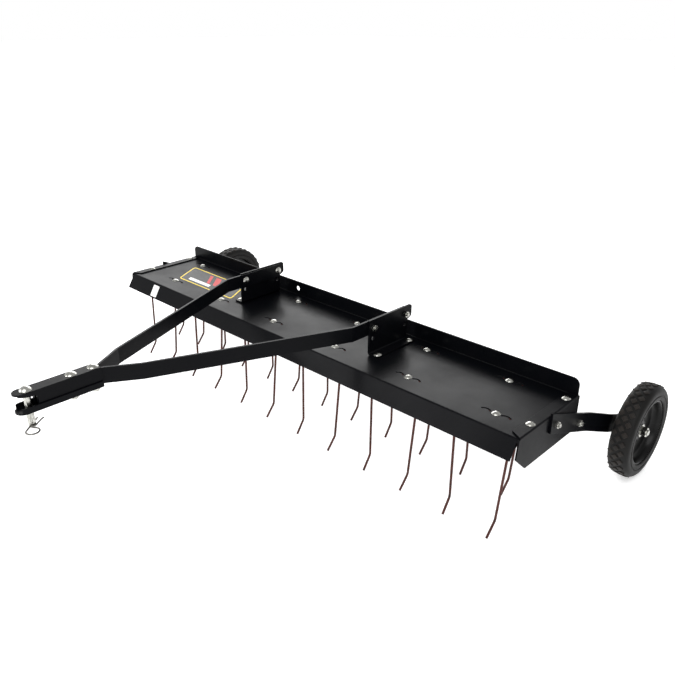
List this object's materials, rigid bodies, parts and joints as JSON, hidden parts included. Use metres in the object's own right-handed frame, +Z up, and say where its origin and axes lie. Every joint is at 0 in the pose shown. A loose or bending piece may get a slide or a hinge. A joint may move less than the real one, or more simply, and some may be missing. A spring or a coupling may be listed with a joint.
{
  "type": "lawn dethatcher",
  "caption": "Tow-behind lawn dethatcher: a folded tray carrying two staggered rows of double spring tines, on two rear wheels, with a splayed drawbar and pin hitch.",
  "frame": {"origin": "on the ground, midway along the machine's length and width", "axes": "+X to the right along the tray, +Y towards the wheels, away from the hitch, +Z up"},
  "size_m": [1.393, 1.075, 0.315],
  "materials": {
    "coated_steel": "gloss",
    "plated_steel": "satin",
    "spring_wire": "satin",
    "tyre": "satin",
    "rim": "satin",
    "bush": "matte"
  },
  "bodies": {
    "frame": {"arm_bolts": "plated_steel", "arm_nuts": "plated_steel", "axle_bolt_left": "plated_steel", "axle_bolt_right": "plated_steel", "axle_jam_nuts": "plated_steel", "axle_lock_nuts": "plated_steel", "axle_washers": "plated_steel", "bracket_base_bolts": "plated_steel", "bracket_base_nuts": "plated_steel", "drawbar_bolts": "plated_steel", "drawbar_bracket_left": "coated_steel", "drawbar_bracket_right": "coated_steel", "drawbar_left": "coated_steel", "drawbar_nuts": "plated_steel", "drawbar_right": "coated_steel", "end_plate_bolts": "plated_steel", "end_plate_left": "coated_steel", "end_plate_nuts": "plated_steel", "end_plate_right": "coated_steel", "tine_bolts": "plated_steel", "tine_clamp_washers": "plated_steel", "tine_loops_front": "spring_wire", "tine_loops_rear": "spring_wire", "tine_nuts": "plated_steel", "tongue_bolts": "plated_steel", "tongue_channel": "coated_steel", "tongue_cradle": "coated_steel", "tongue_nuts": "plated_steel", "tray": "coated_steel", "wheel_arm_left": "coated_steel", "wheel_arm_right": "coated_steel"},
    "wheel_left": {"tyre_left": "tyre", "wheel_rim_left": "rim", "wheel_bush_left": "bush"},
    "wheel_right": {"tyre_right": "tyre", "wheel_rim_right": "rim", "wheel_bush_right": "bush"},
    "hitch_pin": {"hitch_pin": "plated_steel"},
    "clip": {"hairpin_clip": "plated_steel"},
    "tine_front_1": {"tine_front_1": "spring_wire"},
    "tine_front_2": {"tine_front_2": "spring_wire"},
    "tine_front_3": {"tine_front_3": "spring_wire"},
    "tine_front_4": {"tine_front_4": "spring_wire"},
    "tine_front_5": {"tine_front_5": "spring_wire"},
    "tine_front_6": {"tine_front_6": "spring_wire"},
    "tine_rear_1": {"tine_rear_1": "spring_wire"},
    "tine_rear_2": {"tine_rear_2": "spring_wire"},
    "tine_rear_3": {"tine_rear_3": "spring_wire"},
    "tine_rear_4": {"tine_rear_4": "spring_wire"},
    "tine_rear_5": {"tine_rear_5": "spring_wire"},
    "tine_rear_6": {"tine_rear_6": "spring_wire"}
  },
  "joints": [
    {"name": "wheel_left_spin", "type": "hinge", "parent": "frame", "child": "wheel_left", "pos_m": [-0.67426, 0.43595, 0.1016], "axis": [1, 0, 0], "continuous": true},
    {"name": "wheel_right_spin", "type": "hinge", "parent": "frame", "child": "wheel_right", "pos_m": [0.67426, 0.43595, 0.1016], "axis": [1, 0, 0], "continuous": true},
    {"name": "hitch_pin_spin", "type": "hinge", "parent": "frame", "child": "hitch_pin", "pos_m": [0, -0.51455, 0.28909], "axis": [0, 0, 1], "continuous": true},
    {"name": "clip_pull", "type": "slide", "parent": "hitch_pin", "child": "clip", "axis": [0.682, -0.7314, 0], "range_m": [0, 0.06]},
    {"name": "tine_front_1_flex", "type": "hinge", "parent": "frame", "child": "tine_front_1", "pos_m": [-0.478, 0.06845, 0.20469], "axis": [1, 0, 0], "range_deg": [-10, 35], "stiffness_Nm_per_rad": 8},
    {"name": "tine_front_2_flex", "type": "hinge", "parent": "frame", "child": "tine_front_2", "pos_m": [-0.2748, 0.06845, 0.20469], "axis": [1, 0, 0], "range_deg": [-10, 35], "stiffness_Nm_per_rad": 8},
    {"name": "tine_front_3_flex", "type": "hinge", "parent": "frame", "child": "tine_front_3", "pos_m": [-0.0716, 0.06845, 0.20469], "axis": [1, 0, 0], "range_deg": [-10, 35], "stiffness_Nm_per_rad": 8},
    {"name": "tine_front_4_flex", "type": "hinge", "parent": "frame", "child": "tine_front_4", "pos_m": [0.1316, 0.06845, 0.20469], "axis": [1, 0, 0], "range_deg": [-10, 35], "stiffness_Nm_per_rad": 8},
    {"name": "tine_front_5_flex", "type": "hinge", "parent": "frame", "child": "tine_front_5", "pos_m": [0.3348, 0.06845, 0.20469], "axis": [1, 0, 0], "range_deg": [-10, 35], "stiffness_Nm_per_rad": 8},
    {"name": "tine_front_6_flex", "type": "hinge", "parent": "frame", "child": "tine_front_6", "pos_m": [0.538, 0.06845, 0.20469], "axis": [1, 0, 0], "range_deg": [-10, 35], "stiffness_Nm_per_rad": 8},
    {"name": "tine_rear_1_flex", "type": "hinge", "parent": "frame", "child": "tine_rear_1", "pos_m": [-0.5288, 0.19625, 0.20469], "axis": [1, 0, 0], "range_deg": [-10, 35], "stiffness_Nm_per_rad": 8},
    {"name": "tine_rear_2_flex", "type": "hinge", "parent": "frame", "child": "tine_rear_2", "pos_m": [-0.3256, 0.19625, 0.20469], "axis": [1, 0, 0], "range_deg": [-10, 35], "stiffness_Nm_per_rad": 8},
    {"name": "tine_rear_3_flex", "type": "hinge", "parent": "frame", "child": "tine_rear_3", "pos_m": [-0.1224, 0.19625, 0.20469], "axis": [1, 0, 0], "range_deg": [-10, 35], "stiffness_Nm_per_rad": 8},
    {"name": "tine_rear_4_flex", "type": "hinge", "parent": "frame", "child": "tine_rear_4", "pos_m": [0.0808, 0.19625, 0.20469], "axis": [1, 0, 0], "range_deg": [-10, 35], "stiffness_Nm_per_rad": 8},
    {"name": "tine_rear_5_flex", "type": "hinge", "parent": "frame", "child": "tine_rear_5", "pos_m": [0.284, 0.19625, 0.20469], "axis": [1, 0, 0], "range_deg": [-10, 35], "stiffness_Nm_per_rad": 8},
    {"name": "tine_rear_6_flex", "type": "hinge", "parent": "frame", "child": "tine_rear_6", "pos_m": [0.4872, 0.19625, 0.20469], "axis": [1, 0, 0], "range_deg": [-10, 35], "stiffness_Nm_per_rad": 8}
  ]
}
